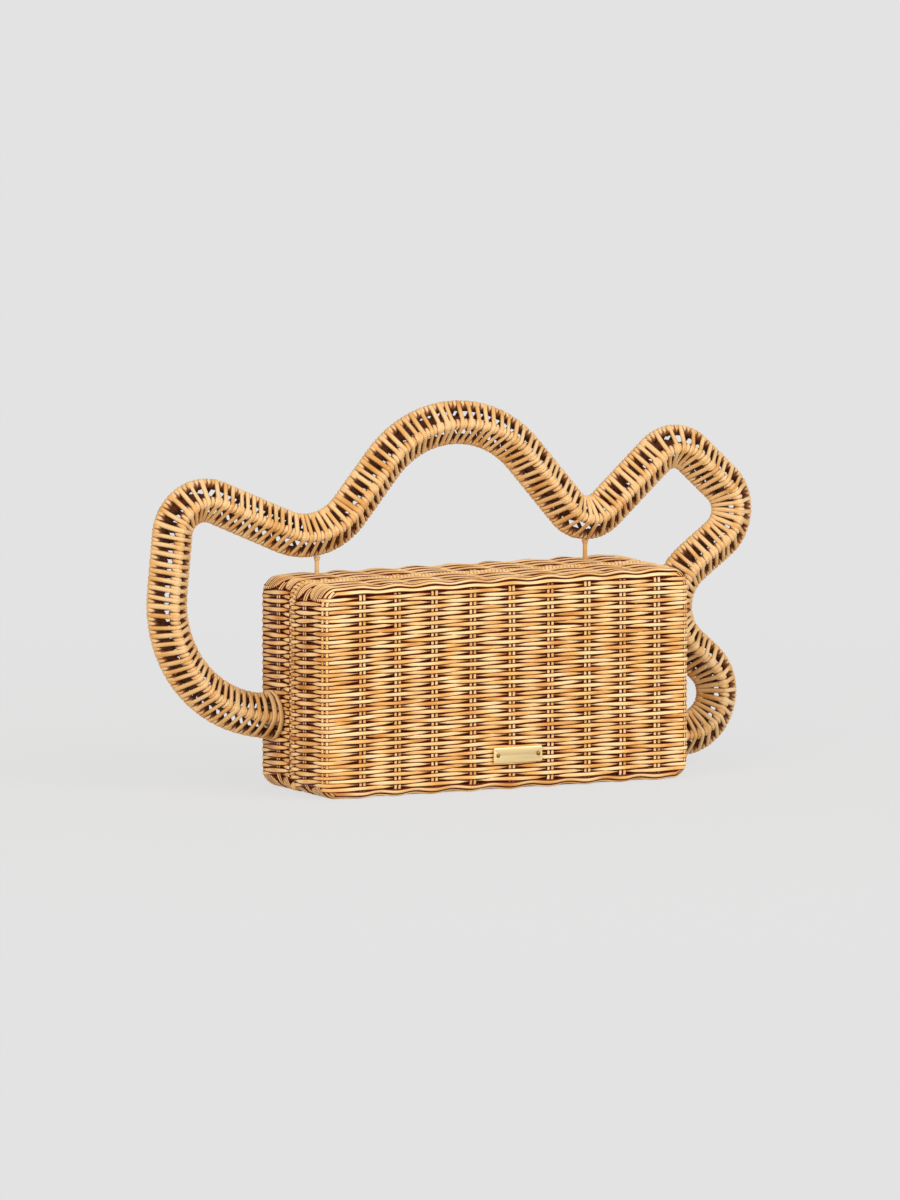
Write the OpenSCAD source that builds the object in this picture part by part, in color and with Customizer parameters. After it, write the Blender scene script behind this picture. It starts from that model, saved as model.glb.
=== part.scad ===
// Box clutch of woven cane: two woven trays hinged along the bottom, with a
// winding openwork handle on the back tray. Millimetres, +Z up, X along the
// width, the seam on the plane Y = 0, the front towards -Y, the base on Z = 0.

/* [Box] */
// Width of the box across its front
box_w = 230; // [200:1:270]
// Height of the box
box_h = 118; // [105:1:140]
// Depth of one tray, from the seam to its face
half_d = 40; // [34:1:52]
// Radius of the edges between the face and the walls, at the weavers' middle
edge_r = 5; // [4:0.5:7]
// Rows of weavers between an edge and the start of a corner
corner_rows = 2; // [1:1:4]
// Gap between the two rims when the box is shut
seam_gap = 0.6; // [0.5:0.1:1.2]

/* [Weave] */
// Distance from one weaver to the next
row_pitch = 2.25; // [2:0.05:3]
// How far neighbouring weavers bed into each other
weaver_bed = 0.25; // [0.15:0.05:0.4]
// How far the side walls stand back from the ends of the top rows
side_inset = 0.5; // [0.3:0.1:0.8]
// Distance between the pairs of stakes
stake_pitch = 22.7; // [18:0.1:30]
// Shift of the stakes from the middle of the box
stake_shift = 2.5; // [0:0.5:5]
// Width of a pair of stakes
stake_w = 4.4; // [3:0.1:6]
// Height of a stake above the weavers that it crosses
stake_rise = 0.4; // [0.3:0.05:0.8]
// Width of the gap beside a stake
gap_w = 2.4; // [1.5:0.1:4]
// Height of the gap beside a stake
gap_h = 0.9; // [0.6:0.1:1.4]
// Rows from one gap to the next along a stake
gap_rows = 6; // [4:2:8]

/* [Rim and hinge] */
// Diameter of the rod round the mouth of each tray
rim_d = 4.4; // [3.8:0.1:5.5]
// Diameter of the hinge rod along the bottom of the seam
hinge_d = 5.2; // [4:0.1:6]
// Thickness of the cane wound round the hinge rod
loop_t = 1.1; // [0.8:0.1:1.6]
// Width of one hinge loop
loop_w = 9; // [6:0.5:14]
// Length of a loop's tail on the floor of its tray
tail_l = 12; // [8:0.5:18]
// Distance between the pairs of hinge loops
loop_span = 80; // [60:1:90]
// Radial play of the loops on the hinge rod
hinge_play = 0.05; // [0.02:0.01:0.1]
// Diameter of the magnets in the top of the rims
magnet_d = 3; // [2:0.1:3.4]
// Thickness of the magnets
magnet_t = 1.2; // [0.8:0.1:1.5]
// Distance between the magnets
magnet_span = 110; // [60:1:150]

/* [Plate] */
// Width of the plate on the front
plate_w = 30; // [20:0.5:40]
// Height of the plate
plate_h = 8.6; // [6:0.2:12]
// Thickness of the plate
plate_t = 0.8; // [0.5:0.1:1.5]
// Place of the plate's middle, across the box
plate_x = 6; // [-30:1:30]
// Place of the plate's middle, above the base
plate_z = 19.5; // [15:0.5:40]
// Diameter of the tacks that hold the plate
tack_d = 1.2; // [0.8:0.1:1.6]

/* [Handle] */
// Outer diameter of the handle
tube_d = 24.6; // [21:0.2:26]
// Distance from one turn of the winding to the next
wrap_pitch = 4; // [3.4:0.1:5]
// Width of the winding strand
wrap_w = 2.2; // [1.6:0.1:2.6]
// Thickness of the winding strand
wrap_t = 1.9; // [1.4:0.1:2.4]
// Diameter of the four rods inside the winding
rod_d = 3.2; // [2.4:0.1:4]
// Height of the handle's left end above the base
left_end_z = 41.5; // [36:0.5:48]
// Height of the handle's right end above the base
right_end_z = 17; // [16:0.5:26]
// Reach of the left loop past the side of the box
left_reach = 72; // [68:1:84]
// Rise of the left loop above the box
left_rise = 54; // [50:1:62]
// Rise of the middle arch's corner above the box
arch_rise = 111.5; // [94:0.5:124]
// Reach of the right loop past the side of the box
right_reach = 66.5; // [60:0.5:76]
// Diameter of the two posts under the handle
post_d = 2.5; // [2:0.1:4]
// Free height of the posts between the box and the handle
post_gap = 8.4; // [6:0.2:12]
// Distance of the left post from the handle's left end
left_post_in = 27; // [24:1:32]
// Distance of the right post and the dip over it from the handle's right end
right_post_in = 36; // [33:1:40]

/* [Hidden] */
$fn = 32;
cane = "goldenrod";
dark_cane = "peru";
brass = "khaki";
steel = "silver";
// Sides of a weaver's section, one of them facing out
row_sides = 8;
// Air between pieces that lie on each other
seat = 0.1;
// Air under the hinge loops, and between moving pieces
base_air = 0.5;
swing_air = 0.4;
// How far a cutter runs past a face
past = 1;

// Weavers: radius, and depth of their middle below the stakes' outer face
weaver_r = (row_pitch + weaver_bed) / 2;
skin = stake_rise + weaver_r;
floor_skin = weaver_r * cos(180 / row_sides);
// Weavers fan out thinner in the corners
corner_ratio = 0.92;
// Length of a stake that shows over one weaver
stake_cover = 0.9 * row_pitch;
face_y = half_d - skin;
side_x = box_w / 2 - skin - side_inset;
rim_r = rim_d / 2;
rim_y = seam_gap / 2 + rim_r;
rim_out = box_w / 2 - stake_rise - rim_r;
mouth_y = rim_y + rim_r + seat;

// Hinge rod on the seam, with the floors of the trays kept clear of its loops
hinge_z = base_air + loop_t + hinge_play + hinge_d / 2;
loop_r = hinge_d / 2 + hinge_play + loop_t;
floor_y = loop_r + swing_air + weaver_r;
rim_low = hinge_z + loop_r + swing_air;

// Depth of the magnets' backs behind the seam
magnet_back = rim_y;
// Tacks: distance from the plate's end, and length through the plate and the face
tack_in = 2.6;
tack_l = plate_t + 2 * seat + skin + weaver_r;
plate_r = 1;
// Length of the posts inside the box, and their radius under the handle
post_foot = 1.5;
post_top_r = 0.8 * post_d;
// Sides of the rods' sections, in the handle and in the rims
rod_sides = 4;
rim_sides = 12;
// Degrees from one ring to the next round a bend
bend_step = 15;

// Rows of weavers as [depth, height, outward angle]: those of a floor or top run from the
// seam to the face, and those of the face from its foot up
face_h = box_h - skin - floor_skin - 2 * edge_r;
face_n = round(face_h / row_pitch);
face_step = face_h / face_n;
edge_n = round(edge_r * PI / 2 / row_pitch);
corner_in = edge_r + corner_rows * face_step;
corner_x = box_w / 2 - skin - corner_in;
function face_z(i) = floor_skin + edge_r + i * face_step;
function wall_rows(mouth, low) =
    let (run = face_y - edge_r - mouth)
    let (n = round(run / row_pitch))
    concat([for (i = [0 : n]) [mouth + run * i / n, low, -90]],
           [for (i = [1 : edge_n - 1]) let (a = 90 * i / edge_n)
               [face_y - edge_r + edge_r * sin(a), low + edge_r - edge_r * cos(a), a - 90]]);
floor_rows = wall_rows(floor_y, floor_skin);
top_rows = wall_rows(mouth_y + weaver_r, skin);
face_rows = [for (i = [0 : face_n]) [face_y, face_z(i), 0]];
side_rows = [for (i = [corner_rows : face_n - corner_rows]) [side_x, face_z(i), 0]];
upper_rows = [for (i = [len(top_rows) - 1 : -1 : 0])
    [top_rows[i][0], box_h - top_rows[i][1], -top_rows[i][2]]];
stake_rows = concat(face_rows, upper_rows);
side_edge_x = side_x - edge_r;
side_edge_y = face_y - edge_r;

// Rim as [x, z, heading], up the left side, over the top and down the right
rim_bend = corner_in + weaver_r - rim_r;
rim_mid = box_h - skin - corner_in;
rim_path = concat([[-rim_out, rim_low, 90]],
                  [for (a = [0 : bend_step : 90])
                      [-corner_x - rim_bend * cos(a), rim_mid + rim_bend * sin(a), 90 - a]],
                  [for (a = [0 : bend_step : 90])
                      [corner_x + rim_bend * sin(a), rim_mid + rim_bend * cos(a), -a]],
                  [[rim_out, rim_low, -90]]);

// Stakes across the box, and the middle one on each side wall
stake_side_n = floor((corner_x - stake_w / 2 - abs(stake_shift)) / stake_pitch);
stake_x = [for (i = [-stake_side_n : stake_side_n]) stake_shift + i * stake_pitch];
side_stake_y = (mouth_y + side_edge_y) / 2;

// Handle route: how far each corner lies inside or past the sides of the box and
// above or below its top, and the radius of the bend there
left_bend = 65;
left_lean = 12.5;
left_top_bend = 19.5;
left_dip_in = 30.6;
left_dip_below = 6.2;
left_dip_bend = 34.5;
arch_x = -4;
arch_bend = 57;
right_dip_below = 5;
right_dip_bend = 16.5;
right_top_in = 47.3;
right_top_rise = 65.6;
right_top_bend = 16.7;
right_loop_rise = 21.1;
right_loop_bend = 20.3;
pinch_out = 0.4;
pinch_drop = 28;
pinch_bend = 30.5;
right_low_out = 15.8;
right_low_bend = 22.4;

// Handle: the corners of its winding route as [x, z, bend radius]
tube_r = tube_d / 2;
handle_y = half_d / 2;
side = side_x + skin + seat;
left_x = -side - left_reach;
right_x = side + right_reach;
over_posts = box_h + post_gap + tube_r;
route = [[-side, left_end_z, 0],
         [left_x, left_end_z, left_bend],
         [left_x + left_lean, box_h + left_rise, left_top_bend],
         [left_dip_in - side, over_posts - left_dip_below, left_dip_bend],
         [arch_x, box_h + arch_rise, arch_bend],
         [side - right_post_in, over_posts - right_dip_below, right_dip_bend],
         [right_x - right_top_in, box_h + right_top_rise, right_top_bend],
         [right_x, box_h + right_loop_rise, right_loop_bend],
         [side + pinch_out, box_h - pinch_drop, pinch_bend],
         [right_x + right_low_out, right_end_z, right_low_bend],
         [side, right_end_z, 0]];
legs = [for (i = [1 : len(route) - 1])
    [route[i][0] - route[i - 1][0], route[i][1] - route[i - 1][1]]];
leg_angle = [for (l = legs) atan2(l[1], l[0])];
turn = [for (i = [1 : len(legs) - 1]) (leg_angle[i] - leg_angle[i - 1] + 540) % 360 - 180];
function sum_to(list, n) = n == 0 ? 0 : list[n - 1] + sum_to(list, n - 1);
function bend(i) =
    let (h0 = leg_angle[0] + sum_to(turn, i - 1))
    let (a = turn[i - 1])
    let (r = route[i][2])
    let (t = r * tan(abs(a) / 2))
    let (n = ceil(abs(a) / bend_step))
    [for (k = [0 : n]) let (h = h0 + a * k / n)
        [route[i][0] - t * cos(h0) + sign(a) * r * (sin(h) - sin(h0)),
         route[i][1] - t * sin(h0) + sign(a) * r * (cos(h0) - cos(h)), h]];
last = len(route) - 1;
path = concat([[route[0][0], route[0][1], leg_angle[0]]],
              [for (i = [1 : last - 1]) each bend(i)],
              [[route[last][0], route[last][1], leg_angle[0] + sum_to(turn, last - 1)]]);
path_step = [for (i = [1 : len(path) - 1])
    norm([path[i][0] - path[i - 1][0], path[i][1] - path[i - 1][1]])];
path_s = [for (i = [0 : len(path_step)]) sum_to(path_step, i)];
path_x = [for (i = [0 : len(path) - 1]) [path_s[i], path[i][0]]];
path_z = [for (i = [0 : len(path) - 1]) [path_s[i], path[i][1]]];
path_h = [for (i = [0 : len(path) - 1]) [path_s[i], path[i][2]]];
path_l = path_s[len(path) - 1];

// A point beside the route: in = offset to the left of travel, back = offset along Y
function beside(s, in, back) =
    let (h = lookup(s, path_h))
    [lookup(s, path_x) - in * sin(h), handle_y + back, lookup(s, path_z) + in * cos(h)];

// Winding: four corners a turn, each over one rod
turn_corners = 4;
// Share of the room that the strand fills inside a bend
crowd_ratio = 0.8;
wrap_r = tube_r - wrap_t / sqrt(2);
rod_off = wrap_r - (rod_d / 2 + wrap_t / 2 + seat) * sqrt(2);
wrap_start = wrap_w / 2 + seat;
wrap_n = floor(turn_corners * (path_l - 2 * wrap_start) / wrap_pitch);
wrap_step = (path_l - 2 * wrap_start) / wrap_n;
function corner(k, r) =
    beside(wrap_start + k * wrap_step, r * cos(360 * k / turn_corners), r * sin(360 * k / turn_corners));
// Room along the route at one corner, which shrinks inside a bend
function corner_room(k) = min(
    k < turn_corners ? wrap_w : norm(corner(k, wrap_r) - corner(k - turn_corners, wrap_r)),
    k + turn_corners > wrap_n ? wrap_w : norm(corner(k + turn_corners, wrap_r) - corner(k, wrap_r)));
function corner_w(k) = min(wrap_w, crowd_ratio * corner_room(k));

left_post_x = left_post_in - side;
right_post_x = side - right_post_in;
function handle_over(x) =
    min([for (p = path) if (p[1] > box_h && abs(p[0] - x) < tube_r) p[1]]) - tube_r;

// Extrudes a section drawn in depth and height along the box, middle on X = 0
module along_box(l) {
    rotate([90, 0, -90])
        translate([0, 0, -l / 2])
            linear_extrude(l)
                children();
}

// Weavers end-on
module row_ends(rows, r) {
    for (p = rows)
        translate([p[0], p[1]])
            rotate(p[2] + 180 / row_sides)
                circle(r, $fn = row_sides);
}

// The stretches of one stake pair that cross over every second weaver
module stake_ends(rows, first) {
    for (i = [first : 2 : len(rows) - 1])
        translate([rows[i][0], rows[i][1]])
            rotate(rows[i][2])
                translate([0, -stake_cover / 2])
                    square([skin, stake_cover]);
}

// Floor rows bent up round one corner onto the side, about the corner's middle
module row_corner(rows, middle) {
    mirror([0, 0, 1])
        rotate([90, 0, 0])
            rotate_extrude(angle = 90)
                row_ends([for (p = rows) [middle - p[1], p[0], -p[2]]], corner_ratio * weaver_r);
}

// Floor of a tray with its two bent ends
module wall(rows) {
    middle = rows[0][1] + corner_in;
    along_box(2 * corner_x)
        row_ends(rows, weaver_r);
    for (m = [0, 1])
        mirror([m, 0, 0])
            translate([corner_x, 0, middle])
                row_corner(rows, middle);
}

// Rows of the face, all carried round the upright edges, and most of them back along the sides
module band() {
    along_box(2 * side_edge_x)
        row_ends(face_rows, weaver_r);
    for (m = [0, 1])
        mirror([m, 0, 0]) {
            translate([side_edge_x, -side_edge_y, 0])
                rotate(-90)
                    rotate_extrude(angle = 90)
                        row_ends([for (p = face_rows) [edge_r, p[1], 0]], weaver_r);
            translate([0, -mouth_y, 0])
                rotate([90, 0, 0])
                    linear_extrude(side_edge_y - mouth_y)
                        row_ends(side_rows, weaver_r);
            translate([0, stake_w / 2 - side_stake_y, 0])
                rotate([90, 0, 0])
                    linear_extrude(stake_w)
                        stake_ends(side_rows, 0);
        }
}

// Pairs of stakes up the face and over the top
module stakes() {
    for (k = [0 : len(stake_x) - 1])
        translate([stake_x[k], 0, 0])
            along_box(stake_w)
                stake_ends(stake_rows, k % 2);
}

// Gaps beside the stakes, through the face
module gaps() {
    for (k = [0 : len(stake_x) - 1],
         i = [corner_rows + 1 + k % 2 : gap_rows : face_n - corner_rows - 1])
        translate([stake_x[k] + (stake_w + gap_w) / 2, -face_y, face_z(i + 0.5)])
            cube([gap_w, 4 * weaver_r, gap_h], center = true);
}

module tray() {
    difference() {
        union() {
            wall(floor_rows);
            translate([0, 0, box_h])
                mirror([0, 0, 1])
                    wall(top_rows);
            band();
            stakes();
        }
        gaps();
    }
}

// Rod round the top and sides of one mouth, with pockets for the magnets
module rim() {
    difference() {
        sweep([for (p = rim_path) ring(p, 0, -rim_y, rim_r, rim_sides)]);
        magnet_places()
            cylinder(d = magnet_d + seat, h = magnet_back + seat);
    }
}

// Places of the magnets on the seam, looking into the rim
module magnet_places() {
    for (s = [-1, 1])
        translate([s * magnet_span / 2, 0, box_h - stake_rise - rim_r])
            rotate([90, 0, 0])
                children();
}

module magnets() {
    magnet_places()
        translate([0, 0, magnet_back - magnet_t])
            cylinder(d = magnet_d, h = magnet_t);
}

// Cane loops round the hinge rod, each with a tail on the floor of its tray
module hinge_loops() {
    for (i = [-1 : 1])
        translate([i * loop_span - (loop_w + swing_air) / 2, 0, 0])
            difference() {
                union() {
                    translate([0, 0, hinge_z])
                        rotate([0, 90, 0])
                            cylinder(r = loop_r, h = loop_w, center = true);
                    translate([-loop_w / 2, -loop_r - tail_l, floor_skin + weaver_r + seat])
                        cube([loop_w, loop_r + tail_l, loop_t]);
                }
                translate([0, 0, hinge_z])
                    rotate([0, 90, 0])
                        cylinder(d = hinge_d + 2 * hinge_play, h = loop_w + 2 * past, center = true);
            }
}

// Rectangle with round corners
module round_rect(w, h, r) {
    polygon([for (q = [0 : 3], a = [0 : 15 : 90])
        let (x = (q == 0 || q == 3 ? 1 : -1) * (w / 2 - r))
        let (y = (q < 2 ? 1 : -1) * (h / 2 - r))
        [x + r * cos(90 * q + a), y + r * sin(90 * q + a)]]);
}

// Places of the tacks, looking into the face
module tack_places() {
    for (s = [-1, 1])
        translate([plate_x + s * (plate_w / 2 - tack_in), -half_d - seat - plate_t, plate_z])
            rotate([-90, 0, 0])
                children();
}

// Ring of n points and radius r, square to a path in a plane of constant Y,
// with its middle moved by off to the left of travel
function ring(p, off, y, r, n) = [for (k = [0 : n - 1])
    let (a = 360 * k / n)
    let (u = off + r * cos(a))
    [p[0] - u * sin(p[2]), y + r * sin(a), p[1] + u * cos(p[2])]];

// Bar with a closed section carried through a list of rings
module sweep(rings) {
    n = len(rings[0]);
    m = len(rings);
    sides = [for (i = [0 : m - 2], k = [0 : n - 1])
        let (a = i * n + k)
        let (b = i * n + (k + 1) % n)
        each [[a, b + n, b], [a, a + n, b + n]]];
    end = (m - 1) * n;
    ends = [for (k = [1 : n - 2]) each [[0, k, k + 1], [end, end + k + 1, end + k]]];
    polyhedron([for (r = rings) each r], concat(sides, ends));
}

// Section of the winding where it bends over a rod
function wrap_ring(k) =
    let (h = lookup(wrap_start + k * wrap_step, path_h))
    let (t = [cos(h), 0, sin(h)] * corner_w(k) / 2)
    let (o = corner(k, wrap_r + wrap_t / sqrt(2)))
    let (i = corner(k, wrap_r - wrap_t / sqrt(2)))
    [o - t, o + t, i + t, i - t];

// Post from inside the box up to the handle, flared under the winding
module post(x) {
    top = handle_over(x) - seat;
    foot = box_h - 2 * skin - post_foot;
    translate([x, handle_y, 0])
        rotate_extrude()
            polygon([[0, foot], [post_d / 2, foot], [post_d / 2, top - post_d],
                     [post_top_r, top], [0, top]]);
}

module post_holes() {
    for (x = [left_post_x, right_post_x])
        translate([x, handle_y, box_h - 4 * skin])
            cylinder(d = post_d + seat, h = 5 * skin);
}

module back_shell() {
    color(cane)
        difference() {
            mirror([0, 1, 0])
                tray();
            post_holes();
        }
}

module back_rim() {
    color(cane)
        mirror([0, 1, 0])
            rim();
}

module back_magnets() {
    color(steel)
        mirror([0, 1, 0])
            magnets();
}

module hinge_rod() {
    color(dark_cane)
        translate([0, 0, hinge_z])
            rotate([0, 90, 0])
                cylinder(d = hinge_d, h = box_w - 2 * skin, center = true);
}

module back_hinge_loops() {
    color(dark_cane)
        rotate(180)
            hinge_loops();
}

module handle_rods() {
    color(dark_cane)
        for (a = [0 : 90 : 270])
            sweep([for (p = path)
                ring(p, rod_off * cos(a), handle_y + rod_off * sin(a), rod_d / 2, rod_sides)]);
}

module handle_wrap() {
    color(cane)
        sweep([for (k = [0 : wrap_n]) wrap_ring(k)]);
}

module left_post() {
    color(dark_cane)
        post(left_post_x);
}

module right_post() {
    color(dark_cane)
        post(right_post_x);
}

module front_shell() {
    color(cane)
        difference() {
            tray();
            tack_places()
                cylinder(d = tack_d + seat, h = plate_t + 4 * skin);
        }
}

module front_rim() {
    color(cane)
        rim();
}

module front_magnets() {
    color(steel)
        magnets();
}

module front_hinge_loops() {
    color(dark_cane)
        hinge_loops();
}

module name_plate() {
    color(brass)
        difference() {
            translate([plate_x, -half_d - seat, plate_z])
                rotate([90, 0, 0])
                    linear_extrude(plate_t)
                        round_rect(plate_w, plate_h, plate_r);
            tack_places()
                translate([0, 0, -past])
                    cylinder(d = tack_d + seat, h = plate_t + 2 * past);
        }
}

module plate_tacks() {
    color(brass)
        tack_places()
            translate([0, 0, -seat])
                rotate_extrude()
                    polygon([[0, -tack_d / 2], [tack_d / 2, -tack_d / 2], [tack_d, 0], [tack_d / 2, 0],
                             [tack_d / 2, tack_l], [0, tack_l]]);
}

back_shell();
back_rim();
back_magnets();
hinge_rod();
back_hinge_loops();
handle_rods();
handle_wrap();
left_post();
right_post();
front_shell();
front_rim();
front_magnets();
front_hinge_loops();
name_plate();
plate_tacks();
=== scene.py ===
"""Looks of a rattan box clutch: two woven trays, their bound rims, a wound handle and a small plate.

Everything is in metres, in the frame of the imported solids: +Z up, X along the width, the seam on
the plane Y = 0, the front towards -Y and the base on Z = 0.
"""
from math import cos, pi, radians, sin

import bpy
import numpy as np
from bpy.props import FloatProperty, FloatVectorProperty, IntProperty, PointerProperty
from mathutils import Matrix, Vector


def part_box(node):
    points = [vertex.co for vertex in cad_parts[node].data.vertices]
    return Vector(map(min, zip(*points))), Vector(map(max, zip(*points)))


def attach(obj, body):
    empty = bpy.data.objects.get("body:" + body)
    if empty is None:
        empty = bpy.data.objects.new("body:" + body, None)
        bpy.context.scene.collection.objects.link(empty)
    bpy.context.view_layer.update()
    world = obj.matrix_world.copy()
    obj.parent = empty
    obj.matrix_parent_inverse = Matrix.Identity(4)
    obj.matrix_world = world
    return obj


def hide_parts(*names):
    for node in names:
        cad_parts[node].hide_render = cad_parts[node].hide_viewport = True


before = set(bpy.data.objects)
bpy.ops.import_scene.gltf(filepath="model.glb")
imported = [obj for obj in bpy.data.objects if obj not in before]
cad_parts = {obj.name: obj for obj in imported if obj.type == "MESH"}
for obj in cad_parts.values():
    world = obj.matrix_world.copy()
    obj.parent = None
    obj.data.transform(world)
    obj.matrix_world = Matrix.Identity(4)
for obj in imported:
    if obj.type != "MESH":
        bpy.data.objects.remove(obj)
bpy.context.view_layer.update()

bl_info = {
    "name": "Rattan box clutch",
    "version": (1, 0, 0),
    "blender": (4, 5, 0),
    "location": "View3D > Sidebar > Clutch",
    "description": "Weaves the trays, rims and handle of a rattan box clutch and sets its studio",
    "category": "Add Mesh",
}

FACE_Y = -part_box("front_shell")[0].y
BOX_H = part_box("front_shell")[1].z
BACK = np.array([0.0, 1.0, 0.0])
UP = np.array([0.0, 0.0, 1.0])

# Unevenness of hand work: wavelength and amount of a wander along a cane, in metres, or in shares for
# sizes and shades
BAND_IN_OUT = (0.07, 0.00012)
BAND_UP_DOWN = (0.11, 0.00035)
BAND_SIZE = (0.05, 0.12)
LONG_IN_OUT = (0.08, 0.00010)
LONG_ACROSS = (0.10, 0.00020)
LONG_SIZE = (0.05, 0.10)
STAKE_ACROSS = (0.06, 0.00015)
STAKE_SIZE = (0.03, 0.08)
SHADE = (0.06, 0.5)
# The same for the winding, with wavelengths in turns
SLOW_SLIP = (9, 0.0008)
QUICK_SLIP = (2.3, 0.0009)
STRAND_SIZE = (5, 0.2)

# Least and greatest mean shade of a cane, from 0, tan, to 1, straw
MEAN_SHADES = (0.35, 0.75)
# Middles of the two stakes of a pair, in widths of a stake
PAIR = np.array([-0.52, 0.52])
# Long rows at an edge of the box that go over every stake
EDGE_ROWS = 3
# Share of a binding's radius that is left in its grooves
GROOVE = 0.74
# Length of strand in one turn of the winding, for its shades
TURN_LENGTH = 0.07

WHITE = (1.0, 1.0, 1.0)
# Name, place, size in metres, power in watts and colour of each soft box
LAMPS = (("key", (1.3, -2.6, 1.75), 2.2, 74.0, WHITE),
         ("fill", (-2.6, -1.6, 1.5), 2.4, 64.0, (1.0, 0.86, 0.72)),
         ("top", (-0.2, 0.6, 3.0), 2.4, 2.0, WHITE))
# Rows of pixels in the image, and the height at the object that one of them shows
IMAGE_ROWS = 1200
ROW_HEIGHT = 0.0005516


def length(name, default, about):
    """A size in metres that the sidebar shows as a length."""
    return FloatProperty(name=name, description=about, default=default, min=0.0, precision=5,
                         unit="LENGTH")


def srgb(code):
    """Linear colour of an sRGB hex value: each channel c becomes ((c + 0.055) / 1.055) ** 2.4."""
    c = np.array([int(code[i:i + 2], 16) for i in (1, 3, 5)]) / 255
    return (*np.where(c <= 0.04045, c / 12.92, ((c + 0.055) / 1.055) ** 2.4).tolist(), 1.0)


def tint(name, code, about):
    """A colour that the sidebar shows, from its sRGB hex value."""
    return FloatVectorProperty(name=name, description=about, default=srgb(code), size=4,
                               min=0.0, max=1.0, subtype="COLOR")


class ClutchBox(bpy.types.PropertyGroup):
    """Sizes of the two woven trays"""
    width: length("Width", 0.230, "Width of the box")
    height: length("Height", BOX_H, "Height of the box")
    depth: length("Tray depth", FACE_Y, "Depth of one tray, from the seam to its face")
    edge: length("Edge radius", 0.005, "Radius of the edges between the face and the walls")
    skin: length("Skin", 0.00165, "Depth of the weavers' middle under the outer face")
    floor_skin: length("Floor skin", 0.001155, "Height of the floor weavers' middle above the base")
    inset: length("Side inset", 0.0005, "How far the side walls stand back")
    lip: length("Lip", 0.0011, "Distance of the side weavers' ends from the seam")
    mouth: length("Mouth", 0.0048, "Distance of the first top weaver's edge from the seam")
    floor_mouth: length("Floor mouth", 0.0054, "Distance of the first floor weaver from the seam")
    pitch: length("Row pitch", 0.00225, "Distance from one weaver to the next")
    weaver_wide: length("Weaver width", 0.00265, "Width of a weaver, along the wall")
    weaver_thick: length("Weaver thickness", 0.0017, "Thickness of a weaver, through the wall")
    sway: length("Sway", 0.00095, "How far a weaver swings out over a stake and in behind the next")
    stake_pitch: length("Stake pitch", 0.0227, "Distance between the pairs of stakes")
    stake_shift: length("Stake shift", 0.0025, "Shift of the stakes from the middle of the box")
    stake_wide: length("Stake width", 0.00235, "Width of one stake of a pair")
    stake_thick: length("Stake thickness", 0.0014, "Thickness of one stake of a pair")
    side_stake: length("Side stake", 0.0160, "Depth of the pair of stakes in a side wall")
    sag: length("Sag", 0.0022, "How far the rows sink towards the left edge at mid height")
    fan: length("Fan", 0.0044, "How far the ends of the long rows part round a side stake")
    fan_reach: length("Fan reach", 0.006, "Distance over which that parting dies away")
    stakes: IntProperty(name="Stakes", description="Pairs of stakes across the face",
                        default=9, min=3)
    corner_rows: IntProperty(name="Corner rows", description="Rows from an edge to a corner",
                             default=2, min=1)


class ClutchRim(bpy.types.PropertyGroup):
    """Sizes of the bound rods round the trays' mouths"""
    radius: length("Rim radius", 0.0021, "Radius of a rim with its binding")
    side_radius: length("Side radius", 0.0017, "Radius of a rim under the ends of the side weavers")
    away: length("From the seam", 0.0025, "Distance of the rim's middle from the seam along the top")
    side_away: length("Side from the seam", 0.0017, "The same distance on the sides")
    foot: length("Foot", 0.0084, "Height of the rim's lower ends")
    out: length("Out", 0.1119, "Distance of the upright rims from the middle of the box")
    top: length("Top", 0.1154, "Height of the rim's middle along the top")
    bend: length("Bend", 0.0085, "Radius of the rim's upper corners")
    binding: length("Binding pitch", 0.00225, "Distance from one turn of the binding to the next")


class ClutchHandle(bpy.types.PropertyGroup):
    """Sizes of the wound handle"""
    tube: length("Tube diameter", 0.0246, "Outer diameter of the handle")
    pitch: length("Winding pitch", 0.0048, "Distance from one turn of the winding to the next")
    strand_wide: length("Strand width", 0.0027, "Width of the winding strand")
    strand_thick: length("Strand thickness", 0.0015, "Thickness of the winding strand")
    rod: length("Rod diameter", 0.0032, "Diameter of the rods inside")
    bound: length("Bound diameter", 0.0064, "Diameter of a rod with the turns that bind it")
    back: length("Back", 0.020, "Distance of the handle's plane behind the seam")
    flare: FloatProperty(name="Flare", description="Share by which the tube widens at the box",
                         default=0.2, min=0.0)
    flare_reach: length("Flare reach", 0.005, "Distance over which that widening dies away")
    round_reach: length("Round reach", 0.012, "Distance from the box over which the turns are round")


class ClutchColours(bpy.types.PropertyGroup):
    """Colours of the clutch and its studio"""
    straw: tint("Straw", "#FCD8A0", "Palest cane")
    gold: tint("Gold", "#EAB66F", "Most of the cane")
    tan: tint("Tan", "#D08B41", "Darkest cane")
    grain: tint("Grain", "#8A5220", "Fibre lines and knots")
    # painted shade, laid in the grooves between canes, on the insides of bindings and windings, and where
    # canes lie deep
    painted_shade: tint("Painted shade", "#621E00", "Painted shade in the grooves between the canes and where they lie deep")
    brass: tint("Brass", "#FBDFA6", "Brushed plate")
    # tacks darker than the plate: darker brass, and partly painted shadow for the small shadows round them
    tack: tint("Tack", "#8F6B36", "Tacks of the plate")
    steel: tint("Nickel", "#B9B9B4", "Magnets")
    studio: tint("Studio", "#E3E3E3", "Floor and background")


# Surfaces: whole arrays of points, all of four-sided faces


def unit(v):
    """Vectors along the last axis, each divided by its length."""
    return v / np.maximum(np.linalg.norm(v, axis=-1, keepdims=True), 1e-12)


def xyz(x, y, z):
    """Points or directions from their three parts, spread to one shape, with the parts last."""
    return np.stack(np.broadcast_arrays(x, y, z), -1)


def ease(t):
    """Smooth step: 3 t^2 - 2 t^3 between 0 and 1."""
    t = np.clip(t, 0, 1)
    return t * t * (3 - 2 * t)


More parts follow.
